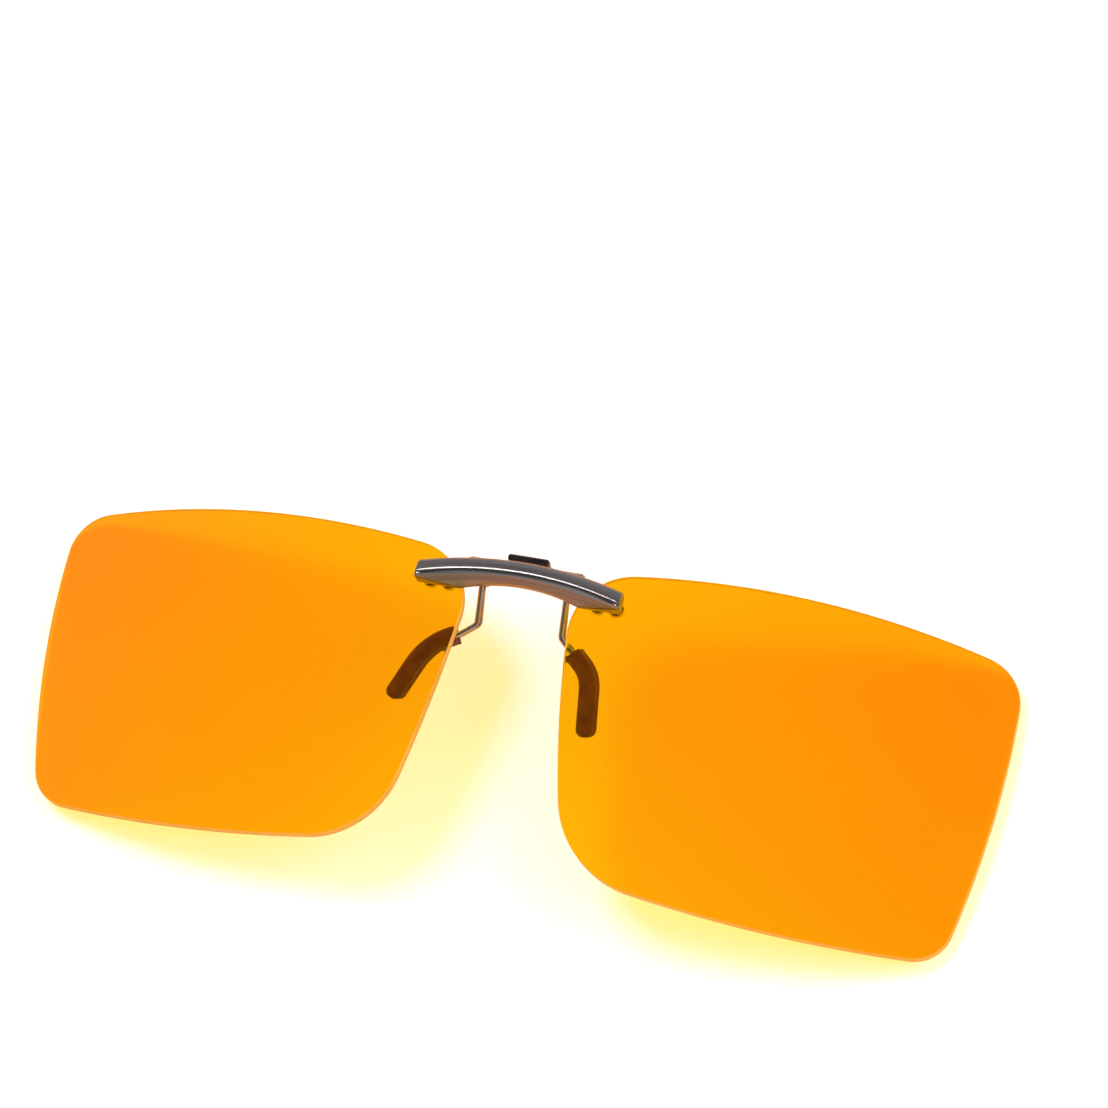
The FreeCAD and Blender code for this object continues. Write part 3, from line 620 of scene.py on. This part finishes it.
def round_end(along, rest, radius, steps=6):
    """Draws the selected end out into a rounded nose, whose tip keeps the rest of its size."""
    gone, size = 0.0, 1.0
    for step in range(1, steps + 1):
        angle = step / steps * math.pi / 2
        reach = radius * math.sin(angle)
        left = rest + (1 - rest) * math.cos(angle)
        bpy.ops.mesh.extrude_region_move(
            TRANSFORM_OT_translate={"value": along * (reach - gone)})
        bpy.ops.transform.resize(value=(left / size,) * 3)
        gone, size = reach, left


def lower_facet(drop):
    """How far out the lower facet stands, at a depth below the arch."""
    fall = (BAR_FRONT - BAR_BACK) / (FOOT_DROP - RIDGE_DROP)
    return BAR_FRONT - (drop - RIDGE_DROP) * fall


def bow_bar(piece):
    """Bows the straight bar to its arch. Below the ridge it follows the waist and floor."""
    for point in piece.data.vertices:
        x, drop = point.co.x, -point.co.y
        if drop > RIDGE_DROP:
            waist = WAIST_TOP - WAIST_RADIUS + math.sqrt(WAIST_RADIUS ** 2 - x ** 2)
            deepest = ARCH - math.hypot(x, ARCH + max(waist, BAR_FLOOR))
            share = (drop - RIDGE_DROP) / (-WAIST_TOP - RIDGE_DROP)
            deeper = RIDGE_DROP + share * (deepest - RIDGE_DROP)
            taller = (lower_facet(deeper) - BAR_BACK) / (lower_facet(drop) - BAR_BACK)
            point.co.z = BAR_BACK + (point.co.z - BAR_BACK) * taller
            drop = deeper
        point.co.y = math.sqrt((ARCH - drop) ** 2 - x ** 2) - ARCH


def make_bar():
    """A straight bar with rounded corners and noses, bowed to its arch and recessed behind."""
    foot = -WAIST_TOP
    # each corner's height and how far out it stands, with its rounding
    corners = {(0, BAR_BACK): 0.15, (0, BAR_BROW): 0.5, (-RIDGE_DROP, BAR_FRONT): 0.7,
               (-foot, lower_facet(foot)): 0.22, (-foot, BAR_BACK): 0.15}
    straight = BAR_END - BAR_NOSE
    piece = section_of("bridge_bar_satin", [Vector((-straight, *spot)) for spot in corners])
    open_up(piece)
    pick_all()
    bpy.ops.mesh.extrude_region_move(TRANSFORM_OT_translate={"value": (2 * straight, 0, 0)})
    face_outwards()
    put_down()
    for (y, z), rounding in corners.items():
        open_up(piece, "EDGE")
        pick_edges(lambda co: math.hypot(co.y - y, co.z - z) < 2 * MERGE)
        bpy.ops.mesh.bevel(offset=rounding, segments=EDGE_STEPS, affect="EDGES",
                           clamp_overlap=False)
        put_down()
    for side in (1, -1):
        open_up(piece, "FACE")
        pick_faces(lambda middle, normal: normal.x * side > 0.9)
        round_end(ACROSS * side, BAR_NOSE_REST, BAR_NOSE, 5)
        put_down()
    for step in range(1, BAR_STEPS):
        open_up(piece)
        pick_all()
        bpy.ops.mesh.bisect(plane_co=(straight * (2 * step / BAR_STEPS - 1), 0, 0),
                            plane_no=(1, 0, 0))
        put_down()
    bow_bar(piece)
    close_up(piece)
    bpy.ops.mesh.primitive_cube_add(size=1, location=(0, 0, BAR_BACK),
                                    scale=(2 * RECESS_HALF, -2 * RECESS_FLOOR,
                                           2 * RECESS_DEEP))
    carve(piece, name_it("recess"))
    smooth(lay_down(piece), 40)
    set_piece(piece, "lens_frame", "bridge_bar", SATIN_GUNMETAL)


# ---------------------------------------------------------------- wires and sleeves

SPIN_STEP = 5              # degrees


def bent_tube(name, points, bends, across, deep, sides):
    """An oval section pushed along straight runs and spun round each bend.

    The piece is left in edit mode, with its far end selected.
    """
    along = (points[1] - points[0]).normalized()
    sideways = along.cross(OUT).normalized()
    upright = sideways.cross(along).normalized()
    bpy.ops.mesh.primitive_circle_add(vertices=sides, radius=0.5, fill_type="NGON")
    piece = name_it(name)
    shape = Matrix((sideways * across, upright * deep, along)).transposed().to_4x4()
    piece.data.transform(Matrix.Translation(points[0]) @ shape)
    open_up(piece)
    pick_all()
    here = points[0]
    for before, corner, after, radius in zip(points, points[1:], points[2:], bends):
        back = (before - corner).normalized()
        onward = (after - corner).normalized()
        turn = math.pi - back.angle(onward)
        begin = corner + back * radius * math.tan(turn / 2)
        middle = (back + onward).normalized()
        centre = corner + middle * radius / math.cos(turn / 2)
        bpy.ops.mesh.extrude_region_move(TRANSFORM_OT_translate={"value": begin - here})
        bpy.ops.mesh.spin(steps=max(4, int(math.degrees(turn) / SPIN_STEP)), angle=-turn,
                          center=centre, axis=(-back).cross(onward).normalized())
        here = corner + onward * radius * math.tan(turn / 2)
    bpy.ops.mesh.extrude_region_move(TRANSFORM_OT_translate={"value": points[-1] - here})
    return piece


WIRE_THICK = 0.7
WIRE_X, SOCKET_TOP, SOCKET_FOOT = 6.1, -1.5, -2.6
SOCKET_OUT, REAR_SOCKET_OUT = -2.75, -4.35
KNEE = Vector((0, -8.2, -5.0))
SLEEVE_WIDE, SLEEVE_DEEP = 2.5, 1.8
PADS_APART, REAR_RISE = 2.1, 0.6
PRONGS = {
    "right": [Vector((8.3, -10.3, -4.5)), Vector((11.35, -13.1, -4.5)),
              Vector((12.5, -21.9, -4.5))],
    "left": [Vector((-8.3, -10.3, -4.5)), Vector((-12.2, -12.2, -4.5)),
             Vector((-15.6, -20.95, -4.5))],
}
ELBOW_BEND = {"right": 5.5, "left": 9.5}
WIRE_BEND, TIP_COVER = 0.9, 1.3
SLEEVE_NOSE, NOSE_REST = 1.1, 0.1      # rounded tip, and how much of its size is left there
SLEEVE_LIP, LIP_REST = 0.3, 0.72       # the same at the sleeve's mouth


def prong_route(hand, rear):
    """Route of one wire: out of its socket, back at the knee, then down the sleeve."""
    side = 1 if hand == "right" else -1
    deeper = Vector((0, REAR_RISE, -PADS_APART)) if rear else Vector()
    socket_z = REAR_SOCKET_OUT if rear else SOCKET_OUT
    return [Vector((side * WIRE_X, SOCKET_TOP, socket_z)),
            Vector((side * WIRE_X, SOCKET_FOOT - WIRE_THICK, socket_z)),
            KNEE + deeper + ACROSS * side * WIRE_X,
            *(point + deeper for point in PRONGS[hand])]


def make_prong(hand, rear):
    """One wire and the soft sleeve on its outer end."""
    place = "rear" if rear else "front"
    body = "rear_jaw" if rear else "clip"
    route = prong_route(hand, rear)
    mouth, elbow, tip = route[3:]
    last = (tip - elbow).normalized()
    first = (elbow - mouth).normalized()
    wire = bent_tube(f"{place}_wire_{hand}_drawn", route[:-1] + [tip - last * TIP_COVER],
                     [WIRE_BEND] * 3 + [ELBOW_BEND[hand]], WIRE_THICK, WIRE_THICK, 20)
    put_down()
    smooth(lay_down(close_up(wire)), 50)
    set_piece(wire, body, f"{place}_wire_{hand}", WIRE_STEEL)
    sleeve = bent_tube(f"{place}_sleeve_{hand}_soft",
                       [mouth + first * SLEEVE_LIP, elbow, tip - last * SLEEVE_NOSE],
                       [ELBOW_BEND[hand]], SLEEVE_WIDE, SLEEVE_DEEP, 32)
    round_end(last, NOSE_REST, SLEEVE_NOSE, 10)
    put_down()
    open_up(sleeve)
    pick_open_ends()
    round_end(-first, LIP_REST, SLEEVE_LIP, 6)
    put_down()
    smooth(lay_down(close_up(sleeve)), 60)
    set_piece(sleeve, body, f"{place}_sleeve_{hand}", SMOKE_SILICONE)


# ---------------------------------------------------------------- tab, spring, metalwork

TAB_MIDDLE, TAB_SIZE, TAB_ROUNDING = (0, 1.25, -1.9), (6.0, 1.0, 1.8), 0.38


def make_tab():
    """Soft black cap, every edge rounded over."""
    bpy.ops.mesh.primitive_cube_add(size=1, location=TAB_MIDDLE, scale=TAB_SIZE)
    piece = ease_edges(name_it("squeeze_tab_soft"), TAB_ROUNDING, 6, 40)
    smooth(lay_down(piece), 60)
    set_piece(piece, "rear_jaw", "squeeze_tab", BLACK_RUBBER)


SPRING_THICK, SPRING_MEAN = 0.4, 0.85
SPRING_HALF, SPRING_TURNS = 1.4, 5
SPRING_SIDES, TURN_STEPS = 14, 24
REST_LEG_END = Vector((-SPRING_HALF, -1.7, -3.21))
MOVING_LEG_END = Vector((SPRING_HALF, 0.74, -2.9))


def make_coil():
    """The spring's turns, wound round the jaw's axis."""
    bpy.ops.mesh.primitive_circle_add(vertices=SPRING_SIDES, radius=SPRING_THICK / 2,
                                      rotation=(math.pi / 2, 0, 0))
    coil = name_it("torsion_spring_coil")
    coil.data.transform(Matrix.Translation(Vector((0, SPRING_MEAN, 0)))
                        @ Matrix.Rotation(math.pi / 2, 4, "Z"))
    winding = coil.modifiers.new("winding", "SCREW")
    winding.axis = "X"
    winding.angle = SPRING_TURNS * 2 * math.pi
    winding.screw_offset = 2 * SPRING_HALF
    winding.steps = winding.render_steps = SPRING_TURNS * TURN_STEPS
    winding.use_merge_vertices = False
    apply_all(coil)
    coil.data.transform(Matrix.Translation(JAW_AXIS - ACROSS * SPRING_HALF))
    return coil


def leg_route(side, end):
    """From where a leg leaves the coil, straight to its end."""
    reach = Vector((0, end.y - JAW_AXIS.y, end.z - JAW_AXIS.z))
    aside = math.acos(SPRING_MEAN / reach.length)
    angle = math.atan2(reach.z, reach.y) - side * aside
    touch = JAW_AXIS + Vector((side * SPRING_HALF, SPRING_MEAN * math.cos(angle),
                               SPRING_MEAN * math.sin(angle)))
    return [touch, end]


def make_spring():
    """Coil and resting leg stay with the clip; the other leg goes with the jaw."""
    coil = make_coil()
    legs = []
    for name, route in (("torsion_spring_rest_leg", leg_route(-1, REST_LEG_END)),
                        ("torsion_spring_moving_leg", leg_route(1, MOVING_LEG_END))):
        leg = bent_tube(name, route, [], SPRING_THICK, SPRING_THICK, SPRING_SIDES)
        put_down()
        legs.append(close_up(leg))
    close_up(coil)
    for piece, body in ((coil, "clip"), (legs[0], "clip"), (legs[1], "rear_jaw")):
        smooth(lay_down(piece), 50)
        set_piece(piece, body, "torsion_spring", SPRING_STEEL)


def make_eased(node, body, width, finish):
    """A CAD node's own shape with its sharp edges broken."""
    piece = lift_copy(node, f"{node}_eased")
    open_up(piece)
    pick_all()
    bpy.ops.mesh.dissolve_limited(angle_limit=math.radians(0.5))
    put_down()
    ease_edges(piece, width, 2, 40)
    smooth(lay_down(piece))
    set_piece(piece, body, node, finish)


# ---------------------------------------------------------------- every piece

make_lens("right", 1)
make_lens("left", -1)
make_bar()
for hand in ("left", "right"):
    make_prong(hand, rear=False)
    make_prong(hand, rear=True)
make_tab()
make_spring()
make_eased("clip_body", "clip", 0.08, CLIP_STEEL)
make_eased("jaw_lever", "rear_jaw", 0.06, CLIP_STEEL)
make_eased("hinge_leaf_left", "lens_frame", 0.06, CLIP_STEEL)
make_eased("hinge_leaf_right", "lens_frame", 0.06, CLIP_STEEL)

KEPT_NODES = {
    BRIGHT_STEEL: ("flip_pin_left", "flip_pin_right", "friction_washers", "leaf_screws",
                   "lens_posts", "lever_pin", "pin_collar", "post_caps"),
    CLEAR_PLASTIC: ("front_washers", "rear_bushes"),
}
for finish, names in KEPT_NODES.items():
    for name in names:
        for holder in frame["nodes"][name].material_slots:
            holder.material = finish


# ---------------------------------------------------------------- table, light, camera

TABLE_ACROSS = 6
bpy.ops.mesh.primitive_plane_add(size=TABLE_ACROSS)
table = name_it("table")
table.data.materials.append(PALE_TABLE_PAINTED_REFLECTION)


LAMP_COLOUR = (1.0, 0.91, 0.89)


def soft_lamp(name, place, size, power, only_for=None):
    """A square softbox that faces the middle of the object.

    It isn't mirrored in anything and only the lenses shade it, unless it lights only some
    pieces: then it is mirrored in them.
    """
    lamp = bpy.data.lights.new(name, "AREA")
    lamp.size = size
    lamp.energy = power
    lamp.color = LAMP_COLOUR
    holder = bpy.data.objects.new(name, lamp)
    holder.location = place
    holder.rotation_euler = (-Vector(place)).to_track_quat("-Z", "Y").to_euler()
    bpy.context.scene.collection.objects.link(holder)
    if only_for is None:
        holder.visible_glossy = False
        holder.visible_transmission = False
        shading = bpy.data.collections.new(f"shading_{name}")
        for hand in ("left", "right"):
            shading.objects.link(bpy.data.objects[f"lens_{hand}_polished"])
        holder.light_linking.blocker_collection = shading
    else:
        chosen = bpy.data.collections.new(f"lit_by_{name}")
        for piece in only_for:
            chosen.objects.link(piece)
        holder.light_linking.receiver_collection = chosen


def studio():
    """Even pale surroundings, whose mirror image is dark overhead and paler at the sides."""
    world = bpy.data.worlds.new("studio")
    world.use_nodes = True
    bpy.context.scene.world = world
    sky = world.node_tree
    place = sky.nodes.new("ShaderNodeTexCoord")
    apart = sky.nodes.new("ShaderNodeSeparateXYZ")
    sky.links.new(place.outputs["Generated"], apart.inputs["Vector"])
    height = apart.outputs["Z"]
    even = tones(sky, height, (0.0, (0.89, 0.80, 0.775)), (1.0, (0.36, 0.325, 0.315)))
    mirrored = tones(sky, height, (0.0, (0.62, 0.61, 0.60)), (0.38, (0.38, 0.375, 0.38)),
                     (0.80, (0.09, 0.09, 0.09)))
    colour = unlike_in_mirrors(sky, even)
    sky.links.new(mirrored, colour.inputs["Color2"])
    sky.links.new(colour.outputs["Color"], sky.nodes["Background"].inputs["Color"])


soft_lamp("softbox_upper_left", (-0.40, 0.32, 0.74), size=0.34, power=6.7)
soft_lamp("softbox_right", (0.60, 0.20, 0.50), size=0.6, power=4.0)
soft_lamp("strip_over_bar", (-0.185, 0.375, 0.682), size=0.15, power=1.5,
          only_for=[bpy.data.objects["bridge_bar_satin"]])
studio()

# the camera: angles in degrees, places in metres, focal length and sensor in millimetres
AZIMUTH, ELEVATION, ROLL = (math.radians(a) for a in (34.49755, 69.24144, -23.5456))
AIM, DISTANCE = Vector((0.002995, 0.023517, 0.012)), 0.489407
FOCAL_LENGTH, SENSOR = 113.156, 36
back = Vector((math.sin(AZIMUTH) * math.cos(ELEVATION),
               -math.cos(AZIMUTH) * math.cos(ELEVATION), math.sin(ELEVATION)))
camera = bpy.data.objects.new("camera", bpy.data.cameras.new("camera"))
camera.data.lens = FOCAL_LENGTH
camera.data.sensor_width = SENSOR
camera.data.clip_start = 0.01
camera.matrix_world = (Matrix.Translation(AIM + back * DISTANCE)
                       @ (-back).to_track_quat("-Z", "Y").to_matrix().to_4x4()
                       @ Matrix.Rotation(ROLL, 4, "Z"))
bpy.context.scene.collection.objects.link(camera)
bpy.context.scene.camera = camera
bpy.context.scene.view_settings.view_transform = "Standard"
